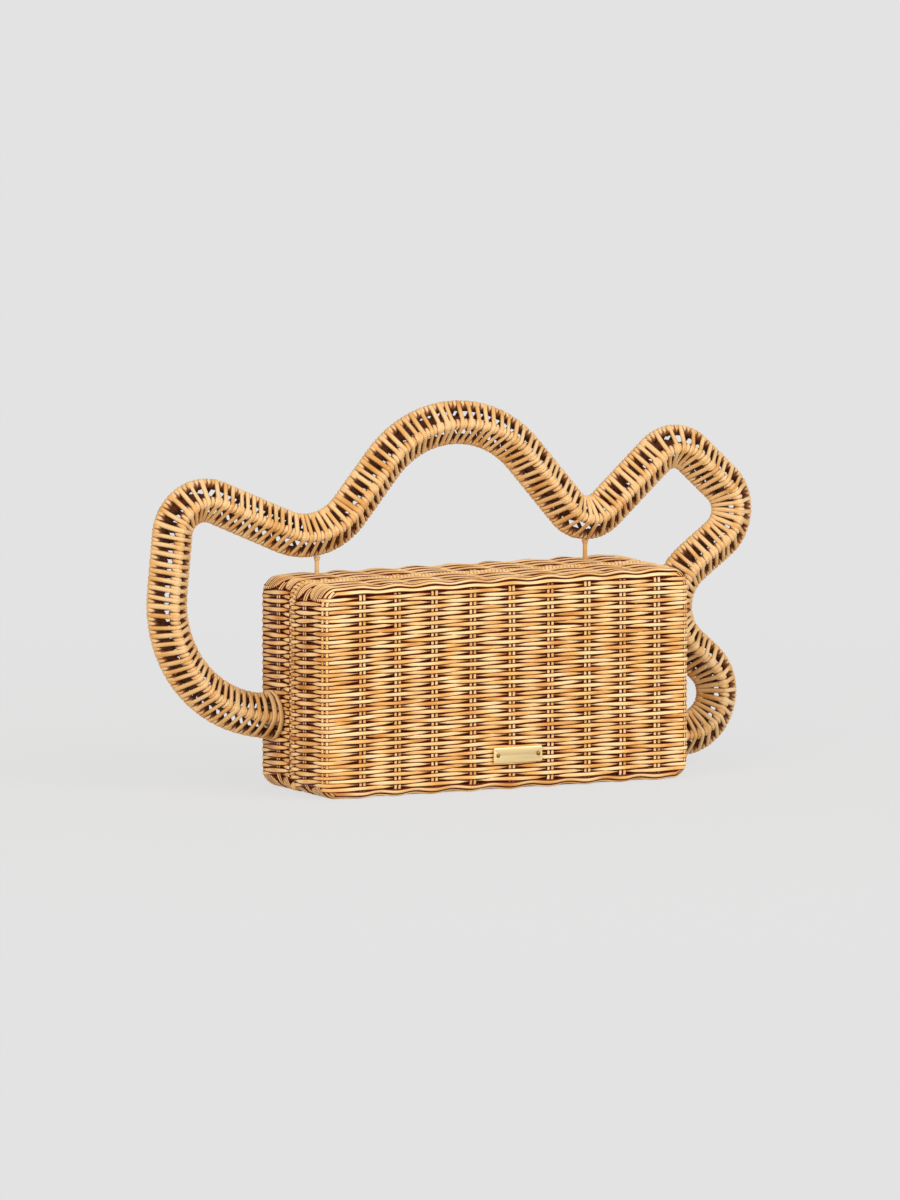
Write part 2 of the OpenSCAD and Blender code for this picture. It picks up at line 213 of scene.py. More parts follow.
def run_along(points):
    """Distance along each path of points: the running sum of its steps, from 0."""
    step = np.linalg.norm(np.diff(points, axis=-2), axis=-1)
    return np.concatenate([0 * step[..., :1], np.cumsum(step, axis=-1)], axis=-1)


def closing(count):
    """Quads that close a ring of points: 0, k + 1, k + 2 and k + 3 for each even k."""
    k = 2 * np.arange(count // 2 - 1)
    return np.stack([0 * k, k + 1, k + 2, k + 3], -1)


def bars(centre, out, thick, wide, sides=8, tone=0.5, depth_shade=0.0):
    """Round bars carried along paths, one row of arrays for each bar.

    A ring's point at angle a is centre + out * thick / 2 * cos(a) + across * wide / 2 * sin(a), where
    across is square to the path and to out. Flat fans of quads close both ends. The UV map holds the
    run along the bar in metres and the share of the way round it, counted from out.
    centre is (bars, rings, 3), and out is that or is shared by the bars. thick, wide, tone and depth_shade
    are single values or (bars, rings). depth_shade is the share of painted shade where the bar lies deep.
    """
    count, rings = centre.shape[:2]
    along = unit(np.gradient(centre, axis=1))
    out = unit(out - along * (out * along).sum(-1, keepdims=True))
    across = np.cross(along, out)
    share = (np.arange(sides + 1) + 0.5) / sides
    a = 2 * pi * share[:-1, None]
    half_thick, half_wide = (np.broadcast_to(v, (count, rings))[..., None, None] / 2
                             for v in (thick, wide))
    points = (centre[:, :, None] + half_thick * np.cos(a) * out[:, :, None]
              + half_wide * np.sin(a) * across[:, :, None])
    ids = np.arange(count * rings * sides).reshape(count, rings, sides)
    turn = np.roll(ids, -1, axis=2)
    walls = np.stack([ids[:, :-1], turn[:, :-1], turn[:, 1:], ids[:, 1:]], -1).reshape(-1, 4)
    cap = closing(sides)
    caps = np.concatenate([ids[:, 0][:, cap[:, ::-1]], ids[:, -1][:, cap]]).reshape(-1, 4)
    # each bar's run starts elsewhere, so that no two have the same fibres
    start = 0.731 * np.arange(count)[:, None]
    u = np.broadcast_to((run_along(centre) + start)[..., None], ids.shape)
    v = np.broadcast_to(share[:-1], ids.shape)
    v_next = np.broadcast_to(share[1:], ids.shape)
    near, near_next = np.stack([u, v], -1), np.stack([u, v_next], -1)
    wall_uv = np.stack([near[:, :-1], near_next[:, :-1], near_next[:, 1:], near[:, 1:]], 3)
    cap_uv = np.stack([u.reshape(-1)[caps], v.reshape(-1)[caps]], -1)
    tone, depth_shade = (np.repeat(np.broadcast_to(x, (count, rings)).ravel(), sides) for x in (tone, depth_shade))
    return {"co": points.reshape(-1, 3), "quads": np.concatenate([walls, caps]), "tone": tone,
            "uv": np.concatenate([wall_uv.reshape(-1, 2), cap_uv.reshape(-1, 2)]), "depth_shade": depth_shade}


def joined(*surfaces):
    """One surface from several, with the later ones' point numbers moved on."""
    shift = np.cumsum([0] + [len(s["co"]) for s in surfaces[:-1]])
    made = {k: np.concatenate([s[k] for s in surfaces]) for k in ("co", "uv", "tone", "depth_shade")}
    made["quads"] = np.concatenate([s["quads"] + n for s, n in zip(surfaces, shift)])
    return made


def mirrored(surface, scale, shift=(0.0, 0.0, 0.0)):
    """The surface times a scale with one negative sign, then shifted, with each face turned round."""
    co = surface["co"] * np.array(scale) + np.array(shift)
    uv = surface["uv"].reshape(-1, 4, 2)[:, ::-1].reshape(-1, 2)
    return dict(surface, co=co, quads=surface["quads"][:, ::-1], uv=uv)


def piece(name, surface, body, slot, material, *nodes):
    """A mesh object from a surface, riding on a body in place of its solids."""
    co, quads = surface["co"], surface["quads"]
    mesh = bpy.data.meshes.new(name)
    mesh.vertices.add(len(co))
    mesh.loops.add(quads.size)
    mesh.polygons.add(len(quads))
    mesh.vertices.foreach_set("co", co.astype(np.float32).ravel())
    mesh.loops.foreach_set("vertex_index", quads.astype(np.int32).ravel())
    mesh.polygons.foreach_set("loop_start", np.arange(0, quads.size, 4, dtype=np.int32))
    mesh.polygons.foreach_set("use_smooth", np.ones(len(quads), dtype=bool))
    mesh.update(calc_edges=True)
    uv_map = mesh.uv_layers.new(name="Strand")
    uv_map.uv.foreach_set("vector", surface["uv"].astype(np.float32).ravel())
    for key in ("tone", "depth_shade"):
        layer = mesh.attributes.new(key, "FLOAT", "POINT")
        layer.data.foreach_set("value", surface[key].astype(np.float32))
    mesh.materials.append(material)
    obj = bpy.data.objects.new(name, mesh)
    bpy.context.scene.collection.objects.link(obj)
    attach(obj, body)
    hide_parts(*nodes)


def drift(rng, count, run, reach, amount):
    """Slow random wander of each bar: the mean of three sines of random phase, of wavelength reach,
    reach / 1.7 and reach / 2.9, times amount."""
    waves = 2 * pi / reach * np.array([1.0, 1.7, 2.9])[:, None]
    phase = rng.uniform(0, 2 * pi, (count, 3, 1))
    return amount * np.sin(waves * run + phase).mean(1)


def swing(run, knots, values):
    """Over and under: half a cosine wave from each knot's value to the next knot's."""
    i = np.clip(np.searchsorted(knots, run, side="right") - 1, 0, len(knots) - 2)
    t = np.clip((run - knots[i]) / (knots[i + 1] - knots[i]), 0, 1)
    return values[:, i] + (values[:, i + 1] - values[:, i]) * (0.5 - 0.5 * np.cos(pi * t))


def cane_tone(rng, count, run):
    """Shade of each cane from 0, tan, to 1, straw: its own mean and a wander over about 60 mm."""
    mean = rng.uniform(*MEAN_SHADES, (count, 1))
    return np.clip(mean + drift(rng, count, run, *SHADE), 0, 1)


def dive(swung):
    """Painted shade for depth in the weave from the swing: 0 as far in as -0.3, then a smooth step to 1 at
    -1.
    """
    return ease((-0.3 - swung) / 0.7)


# Woven trays


def wall_rows(b, mouth, low):
    """Rows of a floor as depth, height and outward angle: flat, then round the edge up to the face."""
    face, run = b.depth - b.skin, b.depth - b.skin - b.edge - mouth
    flat = np.linspace(0, 1, round(run / b.pitch) + 1)
    bends = round(b.edge * pi / 2 / b.pitch)
    bend = np.arange(1, bends) * pi / 2 / bends
    depth = np.concatenate([mouth + run * flat, face - b.edge + b.edge * np.sin(bend)])
    height = np.concatenate([low + 0 * flat, low + b.edge - b.edge * np.cos(bend)])
    return depth, height, np.concatenate([-pi / 2 + 0 * flat, bend - pi / 2])


def face_rows(b):
    """Heights of the rows up the face, evenly spaced at about the pitch."""
    low, high = b.floor_skin + b.edge, b.height - b.skin - b.edge
    return np.linspace(low, high, round((high - low) / b.pitch) + 1)


def corner_reach(b):
    """Radius of the box's corners, seen from the front, at the weavers' middle."""
    heights = face_rows(b)
    return b.edge + b.corner_rows * (heights[1] - heights[0])


def stake_places(b):
    """Places of the pairs of stakes across the box: even, less a sine of 2 mm for hand work."""
    i = np.arange(b.stakes)
    uneven = 0.002 * np.sin(0.74 * i + 0.5)
    return b.stake_shift + b.stake_pitch * (i - (b.stakes - 1) / 2) - uneven


def band_line(b):
    """Line of a row round the tray, from the left mouth to the right one.

    Straight along the left side, a quarter turn, straight across the face, a quarter turn, and
    straight back along the right side, in X and Y, with the outward angle and the run. flank is -1 on
    the left side, 0 on the face and 1 on the right side, and follows the cosine in the turns.
    """
    x, y = b.width / 2 - b.skin - b.inset, b.depth - b.skin
    ex, ey = x - b.edge, y - b.edge
    side = np.linspace(b.lip, ey, 17)[:-1]
    turn = np.linspace(0, pi / 2, 7)[:-1]
    half_x = np.concatenate([-x + 0 * side, -ex - b.edge * np.cos(turn)])
    half_y = np.concatenate([-side, -ey - b.edge * np.sin(turn)])
    half_out = np.concatenate([pi + 0 * side, pi + turn])
    half_flank = np.concatenate([-1 + 0 * side, -np.cos(turn)])
    face = np.linspace(-ex, ex, 89)
    px = np.concatenate([half_x, face, -half_x[::-1]])
    py = np.concatenate([half_y, -y + 0 * face, half_y[::-1]])
    out = np.concatenate([half_out, 1.5 * pi + 0 * face, 3 * pi - half_out[::-1]])
    flank = np.concatenate([half_flank, 0 * face, -half_flank[::-1]])
    return px, py, out, run_along(np.stack([px, py], -1)), flank


def band(b, rng, lean):
    """Rows that run round the tray: the line above at each height, swung out and in at the stakes.

    On the sides a row sinks by lean for each metre that it comes nearer the seam. On the left half of
    the face it sinks by sag * (x / half the width)^2 * sin(pi * height / box height). Rows above and
    below the corners' middles draw in with the corners, and the first and last dive under the long
    rows' ends.
    """
    px, py, out, run, flank = band_line(b)
    heights = face_rows(b)
    rows, reach = len(heights), corner_reach(b)
    ey = b.depth - b.skin - b.edge
    z = heights[:, None] - lean * np.abs(flank) * (ey + py).clip(0)
    z = z - b.sag * (2 * px / b.width).clip(-1, 0) ** 2 * np.sin(pi * z / b.height)
    past = np.maximum(z - (b.height - b.skin - reach), b.floor_skin + reach - z)
    past = past.clip(0, 0.95 * reach)
    draw_in = reach - np.sqrt(reach ** 2 - past ** 2)
    side = b.side_stake - b.lip
    corner = ey - b.lip + b.edge * pi / 4
    across = corner + b.edge * pi / 4 + stake_places(b) + b.width / 2 - b.skin - b.inset - b.edge
    knots = np.concatenate([[0, side, corner], across, [run[-1] - corner, run[-1] - side, run[-1]]])
    sign = (-1.0) ** np.arange(rows)[:, None]
    over = sign * (-1.0) ** np.arange(b.stakes)
    # swing at the mouth, the side pair and the edge, of most rows and then of the outermost two
    mouth, pair, edge = -0.7 * sign, 1.2 * sign, -0.4 * sign
    mouth[[0, -1]], pair[[0, -1]], edge[[0, -1]] = -1.2, -1.2, 0.25
    swung = swing(run, knots, np.concatenate([mouth, pair, edge, over, edge, pair, mouth], axis=1))
    off = b.sway * swung + drift(rng, rows, run, *BAND_IN_OUT)
    way = xyz(np.cos(out), np.sin(out), 0)
    centre = xyz(px, py, 0) + off[..., None] * way
    centre[..., 0] -= draw_in * flank
    centre[..., 2] += z + drift(rng, rows, run, *BAND_UP_DOWN)
    # on the sides a cane narrows more where it swings in, and gets more painted shade: its dive shade
    # sooner, and a little all along, for the shade that falls on the side walls
    on_side = np.abs(flank)
    swell = (0.04 + 0.18 * on_side) * swung
    wide = b.weaver_wide * (1 + swell) * (1 + drift(rng, rows, run, *BAND_SIZE))
    tone = cane_tone(rng, rows, run) - 0.05 * on_side
    return bars(centre, way, b.weaver_thick, wide, tone=tone, depth_shade=dive(swung - 0.4 * on_side))


def long_rows(b, rng, mouth, low, flat_sway, first, lean):
    """Rows that run along the box on a floor, bent up round the corners at both ends.

    In X and Z a row is an arc about the corner's middle, a straight line and another arc. It swings
    along its own outward direction, which turns with the corner. Its ends meet the rows of the side
    walls, which lean, and part round the stakes there: near one they stop sooner, and move away from it
    by fan * exp(-distance / fan_reach). The rows at the edge go over every stake and dip between two.
    """
    reach = corner_reach(b)
    depth, height, angle = wall_rows(b, mouth, low)
    rows = len(depth)
    middle, corner_x = low + reach, b.width / 2 - b.skin - reach
    from_stake = depth - b.side_stake
    near = np.exp(-np.abs(from_stake) / b.fan_reach)
    tip = np.linspace(1, 0, 10)[:-1]
    straight = np.linspace(-corner_x, corner_x, 81)
    bent = np.concatenate([tip, 0 * straight, tip[::-1]])
    base = np.concatenate([-corner_x + 0 * tip, straight, corner_x + 0 * tip])
    end_angle, sooner = radians(74), 0.36
    reach_down = cos(end_angle) + lean * (b.depth - b.skin - b.edge - depth) / reach
    turn = (np.arccos(reach_down.clip(0, 1)) * (1 - sooner * near))[:, None] * bent
    side = np.sign(base) * np.sin(turn)
    radius = (middle - height)[:, None]
    run = base + np.sign(base) * reach * bent
    places = stake_places(b)
    halves = np.interp(np.arange(2 * b.stakes - 1) / 2, np.arange(b.stakes), places)
    sign = (-1.0) ** ((np.arange(rows) + first) // 2)[:, None]
    over = -sign * (-1.0) ** np.arange(b.stakes)
    waves = np.where(np.arange(2 * b.stakes - 1) % 2 == 0, 1.1, -0.25)[None]

    def swung_at(marks, values):
        """The swing through values at the marks, out at the corners and in at both ends."""
        knots = np.concatenate([[-corner_x - reach, -corner_x], marks, [corner_x, corner_x + reach]])
        end, edge = np.full((len(values), 1), -0.5), np.full((len(values), 1), 0.35)
        return swing(run, knots, np.concatenate([end, edge, values, edge, end], axis=1))

    swung = swung_at(places, over)
    swung[-EDGE_ROWS:] = swung_at(halves, waves)
    edge_sway = 1.45 * b.sway
    sway = flat_sway + (edge_sway - flat_sway) * np.sqrt((angle + pi / 2)[:, None] / (pi / 2))
    off = sway * swung + drift(rng, rows, run, *LONG_IN_OUT)
    down = -np.sin(angle)[:, None]
    way = xyz(down * side, -np.cos(angle)[:, None], -down * np.cos(turn))
    parted = (np.sign(from_stake) * b.fan * near)[:, None] * ease(bent)
    line = xyz(base + radius * side, -depth[:, None] - parted, middle - radius * np.cos(turn))
    centre = line + off[..., None] * way
    centre[..., 1] += drift(rng, rows, run, *LONG_ACROSS) * down
    wide = b.weaver_wide * (1 + 0.10 * swung) * (1 + drift(rng, rows, run, *LONG_SIZE))
    # painted shade where a row dives behind a stake and along its bent ends
    return bars(centre, way, b.weaver_thick, wide, tone=cane_tone(rng, rows, run),
                depth_shade=np.maximum(dive(swung), 0.4 * bent))


def stakes(b, rng):
    """Pairs of stakes, side by side: along the floor, round the edge, up the face and over the top."""
    face, low, high = b.depth - b.skin, b.floor_skin, b.height - b.skin
    bend = np.linspace(0, pi / 2, 7)
    flat = np.linspace(b.mouth, face - b.edge, 8)[:-1]
    rise = np.linspace(low + b.edge, high - b.edge, 36)[1:-1]
    depth = np.concatenate([flat, face - b.edge + b.edge * np.sin(bend), face + 0 * rise,
                            face - b.edge + b.edge * np.cos(bend), flat[::-1]])
    height = np.concatenate([low + 0 * flat, low + b.edge - b.edge * np.cos(bend), rise,
                             high - b.edge + b.edge * np.sin(bend), high + 0 * flat])
    angle = np.concatenate([-pi / 2 + 0 * flat, bend - pi / 2, 0 * rise, bend, pi / 2 + 0 * flat])
    x = (stake_places(b)[:, None] + PAIR * b.stake_wide).ravel()
    run = run_along(np.stack([depth, height], -1))
    wander = drift(rng, len(x), run, *STAKE_ACROSS)
    centre = xyz(x[:, None] + wander, -depth, height)
    way = xyz(0, -np.cos(angle), np.sin(angle))
    size = 1 + drift(rng, len(x), run, *STAKE_SIZE)
    return bars(centre, way, b.stake_thick * size, b.stake_wide * size, tone=cane_tone(rng, len(x), run))


def uprights(b, rng):
    """The upright pairs of stakes in the side walls and in the front edges, bent in with the corners.

    In plan a side pair stands on the wall's line and an edge pair on the edge's quarter circle. At both
    ends a stake follows the corner's arc in height and leans in by the reach times 1 - cos(angle).
    """
    reach = corner_reach(b)
    low, high = b.floor_skin + reach, b.height - b.skin - reach
    end_angle = radians(58)
    bend = np.linspace(0, end_angle, 7)[1:]
    rise = np.linspace(low, high, 30)
    z = np.concatenate([low - reach * np.sin(bend[::-1]), rise, high + reach * np.sin(bend)])
    angle = np.concatenate([-bend[::-1], 0 * rise, bend])
    inward = reach * (1 - np.cos(angle))
    x, y = b.width / 2 - b.skin - b.inset, b.depth - b.skin
    apart = PAIR * b.stake_wide
    turn = pi / 4 + apart / b.edge
    px = np.concatenate([x + 0 * apart, x - b.edge + b.edge * np.cos(turn)])
    py = np.concatenate([apart - b.side_stake, b.edge - y - b.edge * np.sin(turn)])
    out = np.concatenate([0 * apart, -turn])
    side = np.repeat([-1.0, 1.0], len(px))[:, None]
    px, py, out = (np.tile(v, 2)[:, None] for v in (px, py, out))
    centre = xyz(side * (px - inward), py, z)
    level = np.cos(angle)
    way = xyz(side * np.cos(out) * level, np.sin(out) * level, np.sin(angle))
    return bars(centre, way, b.stake_thick, b.stake_wide, tone=cane_tone(rng, len(side), z))


def tray(b, seed, lean):
    """All the cane of a tray, as it is in the front one. The top is a floor turned over."""
    rng = np.random.default_rng(seed)
    floor = long_rows(b, rng, b.floor_mouth, b.floor_skin, flat_sway=0.00025, first=1, lean=lean)
    top_mouth = b.mouth + 0.55 * b.pitch
    top = long_rows(b, rng, top_mouth, b.skin, flat_sway=0.8 * b.sway, first=0, lean=-lean)
    top = mirrored(top, (1, 1, -1), (0, 0, b.height))
    return joined(floor, band(b, rng, lean), top, stakes(b, rng), uprights(b, rng))


# Rims


def bound_rods(centre, way, radius, binding, rng, sides):
    """Rods under a close binding, as tubes along paths.

    The radius falls to GROOVE times itself between the turns of the binding, as
    radius * (GROOVE + (1 - GROOVE) * |cos(pi * (run / binding + a / 2 pi))| ** 0.6), with a slow change
    of pace. Each turn has its own shade.
    """
    made = bars(centre, way, 2.0, 2.0, sides=sides)
    ring = made["co"].reshape(*centre.shape[:2], sides, 3) - centre[:, :, None]
    run = run_along(centre)[..., None]
    pace = 0.12 * np.sin(run / 0.013)
    turn = run / binding + (np.arange(sides) + 0.5) / sides + pace
    swell = GROOVE + (1 - GROOVE) * np.abs(np.cos(pi * turn)) ** 0.6
    made["co"] = (centre[:, :, None] + ring * (radius * swell)[..., None]).reshape(-1, 3)
    shades = rng.uniform(0.4, 1.0, 1000)
    made["tone"] = shades[np.floor(turn + 0.5).astype(int) % len(shades)].ravel()
    # painted shade in the grooves between the turns of the binding
    made["depth_shade"] = ease((0.97 - swell) / 0.14).ravel()
    return made


def rim(r, rng):
    """Bound rod round a tray's mouth: up the left side, round, over the top, round and down the right.

    It is thinner on the sides, under the ends of the weavers.
    """
    side = np.linspace(r.foot, r.top - r.bend, 230)[:-1]
    bend = np.linspace(0, pi / 2, 32)[:-1]
    over = np.linspace(-r.out + r.bend, r.out - r.bend, 470)
    px = np.concatenate([-r.out + 0 * side, -r.out + r.bend - r.bend * np.cos(bend), over,
                         r.out - r.bend + r.bend * np.cos(bend[::-1]), r.out + 0 * side])
    pz = np.concatenate([side, r.top - r.bend + r.bend * np.sin(bend), r.top + 0 * over,
                         r.top - r.bend + r.bend * np.sin(bend[::-1]), side[::-1]])
    out = np.concatenate([pi + 0 * side, pi - bend, pi / 2 + 0 * over, bend[::-1], 0 * side])
    level = np.sin(out).clip(0)
    centre = xyz(px, -r.side_away - (r.away - r.side_away) * level, pz)[None]
    way = xyz(np.cos(out), 0, np.sin(out))[None]
    radius = r.side_radius + (r.radius - r.side_radius) * level[None, :, None]
    return bound_rods(centre, way, radius, r.binding, rng, sides=12)


# Handle


def route_corners(h):
    """Corners of the handle's route in X and Z with the bend radius at each, as on the solids."""
    side, top = 0.1146, BOX_H
    left_end, right_end = 0.0415, 0.017
    left_reach, right_reach = 0.072, 0.0665
    left_rise, arch_rise, post_gap = 0.054, 0.1115, 0.0084
    left, right = -side - left_reach, side + right_reach
    rest = top + post_gap + h.tube / 2
    return np.array([(-side, left_end, 0), (left, left_end, 0.065),
                     (left + 0.0125, top + left_rise, 0.0195), (0.0306 - side, rest - 0.0062, 0.0345),
                     (-0.004, top + arch_rise, 0.057), (side - 0.036, rest - 0.005, 0.0165),
                     (right - 0.0473, top + 0.0656, 0.0167), (right, top + 0.0211, 0.0203),
                     (side + 0.0004, top - 0.028, 0.0305), (right + 0.0158, right_end, 0.0224),
                     (side, right_end, 0)])


def route(h):
    """The route as run, points in X and Z, and heading: straight legs joined by circular bends.

    A bend of angle a and radius r starts r * tan(a / 2) before its corner and ends as far after it.
    """
    corner = route_corners(h)
    leg = np.diff(corner[:, :2], axis=0)
    heading = np.unwrap(np.arctan2(leg[:, 1], leg[:, 0]))
    points = [corner[:1, :2]]
    ways = [heading[:1]]
    for i, a in enumerate(np.diff(heading)):
        r = corner[i + 1, 2]
        t = np.linspace(heading[i], heading[i + 1], 40)
        ahead = np.array([cos(heading[i]), sin(heading[i])])
        start = corner[i + 1, :2] - r * np.tan(abs(a) / 2) * ahead
        sweep = np.stack([np.sin(t) - sin(heading[i]), cos(heading[i]) - np.cos(t)], -1)
        points.append(start + np.sign(a) * r * sweep)
        ways.append(t)
    points = np.concatenate(points + [corner[-1:, :2]])
    ways = np.concatenate(ways + [heading[-1:]])
    return run_along(points), points, ways


def along_route(h, s):
    """Point, left-hand direction and curvature of the route at the distances s."""
    run, points, ways = route(h)
    way = np.interp(s, run, ways)
    close = np.linspace(0, run[-1], 4000)
    bend = np.gradient(np.interp(close, run, ways), close)
    x, z = (np.interp(s, run, points[:, i]) for i in (0, 1))
    return xyz(x, h.back, z), xyz(-np.sin(way), 0, np.cos(way)), np.interp(s, close, bend)


def flared(h, s):
    """Size of the tube at the distances s: 1 + flare * exp(-distance from an end / flare_reach)."""
    from_end = np.minimum(s, route(h)[0][-1] - s)
    return 1 + h.flare * np.exp(-from_end / h.flare_reach)


def rod_paths(h, count):
    """Paths of the four rods, left, back, right and front of the route, and their outward directions."""
    s = np.linspace(0, route(h)[0][-1], count)
    place, left, _ = along_route(h, s)
    a = np.arange(4)[:, None, None] * pi / 2
    way = np.round(np.cos(a)) * left + np.round(np.sin(a)) * BACK
    return place + (h.tube - h.bound) / 2 * flared(h, s)[:, None] * way, way


def winding(h, rng):
    """The strand wound round the four rods, with the turns that bind each rod.

    Left and back of the route are the real and imaginary parts of a complex number. A turn is a quarter
    circle over each rod and a straight line on to the next, and it goes along the route by the share of
    its own length. Towards the box the turns swell to a full circle, by exp(-distance / round_reach).
    The first and last turns close on themselves. Inside a bend the strand narrows to the room there.
    """
    total = route(h)[0][-1]
    margin = h.strand_wide / 2
    turns = round((total - 2 * margin) / h.pitch)
    angle = np.append(np.linspace(-pi / 4, pi / 4, 5), [pi / 4, pi / 4])
    slide = np.array([0, 0, 0, 0, 0, 1 / 3, 2 / 3])
    corner = np.exp(0.5j * pi * np.arange(5))[:, None]
    normal = (np.exp(1j * angle) * corner[:4]).ravel()
    rod = (h.tube - h.bound) / 2 * ((1 - slide) * corner[:4] + slide * corner[1:]).ravel()
    turn = rod + (h.bound - h.strand_thick) / 2 * normal
    step = np.cumsum(np.abs(np.roll(turn, -1) - turn))
    t = (np.arange(-1, turns + 1)[:, None] + np.append(0, step[:-1]) / step[-1]).ravel()
    share = np.clip(t / turns, 0, 1)
    # the slip of the turns dies away at both ends
    slip = drift(rng, 1, t, *SLOW_SLIP)[0] + drift(rng, 1, t, *QUICK_SLIP)[0]
    s = margin + (total - 2 * margin) * share + slip * np.sin(pi * share).clip(0) ** 0.3
    place, left, bend = along_route(h, s)
    turn, normal, rod = (np.tile(v, turns + 2)[:, None] for v in (turn, normal, rod))
    size = flared(h, s)[:, None]
    turn = turn + (size - 1) * rod
    full = np.exp(-np.minimum(s, total - s) / h.round_reach)[:, None]
    circle = (h.tube - h.strand_thick) / 2 * size * turn / np.abs(turn)
    turn = turn + full * (circle - turn)
    centre = place + turn.real * left + turn.imag * BACK
    out = normal.real * left + normal.imag * BACK
    room = h.pitch * (1 - bend * turn.real[:, 0])
    wide = np.minimum(h.strand_wide * (1 + drift(rng, 1, t, *STRAND_SIZE)), 1.05 * room)
    strand = bars(centre[None], out[None], h.strand_thick, wide, sides=6,
                  tone=0.2 + cane_tone(rng, 1, t * TURN_LENGTH))
    binding = bound_rods(*rod_paths(h, 1900), h.bound / 2, h.pitch / 2, rng, sides=8)
    return joined(strand, binding)


def rods(h, rng):
    """Four plain rods inside the winding, each swept with a circle."""
    centre, way = rod_paths(h, 480)
    return bars(centre, way, h.rod, h.rod, tone=rng.uniform(0.1, 0.4, (4, 1)))


# Hinge rod and plate


def domed_rod(lo, hi):
    """A round rod along X with a quarter circle turned about X at each end."""
    r = (hi.z - lo.z) / 2
    bow = np.linspace(0.05, pi / 2, 8)
    x = np.concatenate([lo.x + r * (1 - np.cos(bow)), hi.x - r * (1 - np.cos(bow[::-1]))])
    radius = r * np.sin(np.concatenate([bow, bow[::-1]]))
    centre = xyz(x, (lo.y + hi.y) / 2, (lo.z + hi.z) / 2)[None]
    return bars(centre, UP, 2 * radius, 2 * radius, sides=24)


def plate(lo, hi):
    """Plate with soft corners and a rounded front edge.

    Rings of a rounded rectangle, each the outline moved in by some of the edge's radius and set at
    its depth: the back's middle, the back's rim, the side, the rounded edge and the front's middle.
    """
    x, z = (lo.x + hi.x) / 2, (lo.z + hi.z) / 2
    corner, soft, inner = 0.001, 0.0003, 0.0041
    a = np.linspace(0, pi / 2, 7)
    quarter = np.concatenate([a, a + pi / 2, a + pi, a + 1.5 * pi])
    cx = np.repeat([1, -1, -1, 1], len(a)) * ((hi.x - lo.x) / 2 - corner)
    cz = np.repeat([1, 1, -1, -1], len(a)) * ((hi.z - lo.z) / 2 - corner)
    bow = np.linspace(0, pi / 2, 5)
    inset = np.concatenate([[inner, 0.0], soft * (1 - np.cos(bow)), [inner]])
    depth = np.concatenate([[hi.y, hi.y], lo.y + soft - soft * np.sin(bow), [lo.y]])
    reach = corner - inset[:, None]
    px = x + cx + np.where(reach < 0, np.sign(cx) * reach, reach * np.cos(quarter))
    pz = z + cz + np.where(reach < 0, np.sign(cz) * reach, reach * np.sin(quarter))
    co = xyz(px, depth[:, None], pz).reshape(-1, 3)
    rings, n = px.shape
    ids = np.arange(rings * n).reshape(rings, n)
    turn = np.roll(ids, -1, axis=1)
    quads = np.stack([ids[:-1], ids[1:], turn[1:], turn[:-1]], -1).reshape(-1, 4)
    cap = closing(n)
    quads = np.concatenate([quads, ids[0][cap], ids[-1][cap[:, ::-1]]])
    uv = co[quads][..., [0, 2]].reshape(-1, 2)
    plain = np.zeros(len(co))
    return {"co": co, "quads": quads, "uv": uv, "tone": plain, "depth_shade": plain}


def tacks(lo, hi):
    """Two tacks: a quarter circle turned about Y for each head, on a shank through the face."""
    r = (hi.z - lo.z) / 2
    bow = np.linspace(0.03, pi / 2, 7)
    radius = np.concatenate([r * np.sin(bow), [0.5 * r, 0.5 * r]])
    depth = np.concatenate([lo.y + 0.5 * r * (1 - np.cos(bow)), [lo.y + 0.55 * r, hi.y]])
    x = np.array([[lo.x + r], [hi.x - r]])
    centre = xyz(x, depth, (lo.z + hi.z) / 2)
    return bars(centre, UP, 2 * radius, 2 * radius, sides=20)


# Materials


def node(tree, kind, links=None, **settings):
    """Adds a node, sets its attributes, then its inputs from values or from other nodes' outputs."""
    made = tree.nodes.new(kind)
    for key, value in settings.items():
        setattr(made, key, value)
    for key, value in (links or {}).items():
        if isinstance(value, bpy.types.NodeSocket):
            tree.links.new(value, made.inputs[key])
        else:
            made.inputs[key].default_value = value
    return made


def blank(name):
    """A material with an empty tree and its output."""
    made = bpy.data.materials.new(name)
    made.use_nodes = True
    made.node_tree.nodes.clear()
    return made, made.node_tree, made.node_tree.nodes.new("ShaderNodeOutputMaterial")


